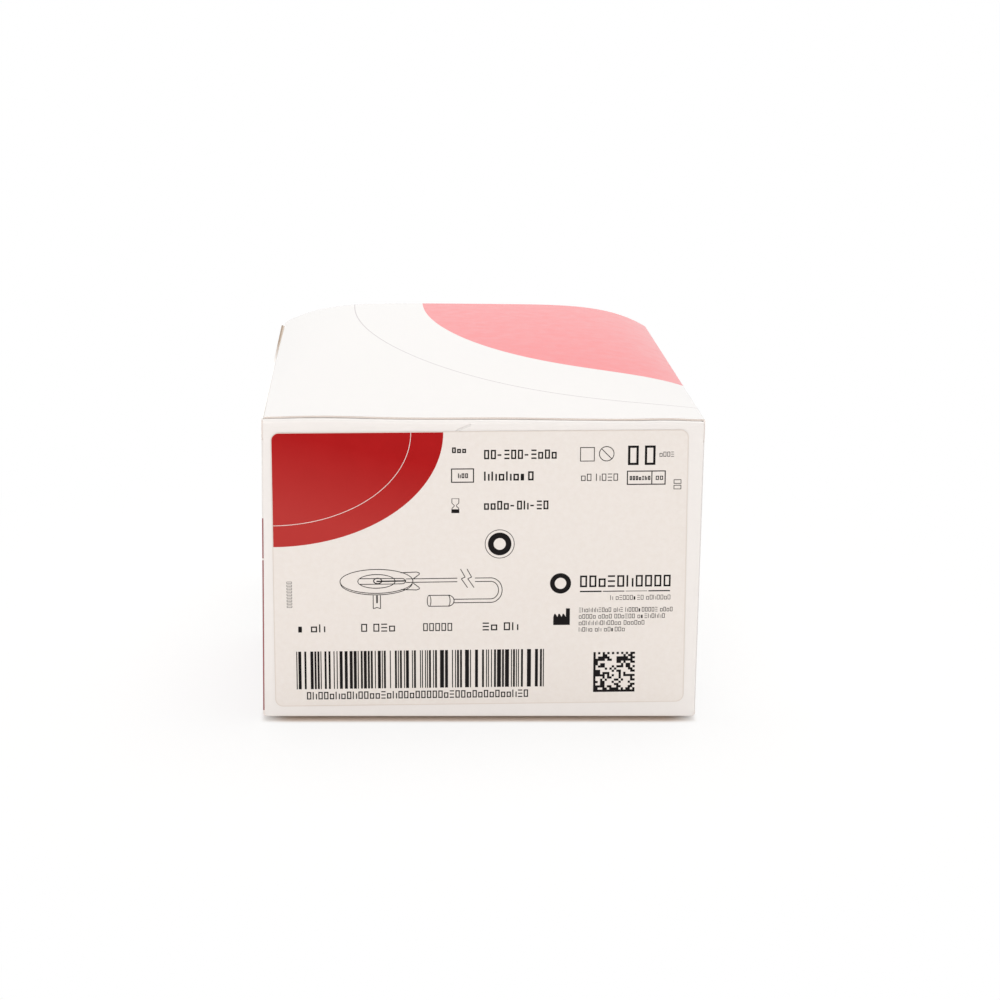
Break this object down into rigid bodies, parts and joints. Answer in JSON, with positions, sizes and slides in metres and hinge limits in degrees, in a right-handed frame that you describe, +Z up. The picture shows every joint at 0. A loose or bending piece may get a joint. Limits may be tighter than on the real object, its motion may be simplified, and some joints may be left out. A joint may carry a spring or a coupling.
{
  "type": "folding carton",
  "caption": "Straight tuck-end folding carton of coated board for ward disposables, with a closure hinged on the bottom at each end, dust flaps and an end label.",
  "frame": {"origin": "middle of the bottom panel's outer face, on the surface that the carton stands on", "axes": "+Z up, +X to the right of someone who faces the labelled end, +Y from the labelled front end to the back end"},
  "size_m": [0.1086, 0.1402, 0.0837],
  "materials": {
    "coated_board": "white coated board, varnished outside",
    "label_paper": "cream label paper, matte"
  },
  "bodies": {
    "carton": {"carton_body": "coated_board"},
    "front_end": {"front_closure": "coated_board", "end_label": "label_paper"},
    "back_end": {"back_closure": "coated_board"}
  },
  "joints": [
    {"name": "front_closure_hinge", "type": "hinge", "parent": "carton", "child": "front_end", "pos_m": [0, -0.07, 0.0011], "axis": [1, 0, 0], "range_deg": [0, 90]},
    {"name": "back_closure_hinge", "type": "hinge", "parent": "carton", "child": "back_end", "pos_m": [0, 0.07, 0.0011], "axis": [-1, 0, 0], "range_deg": [0, 90]}
  ]
}
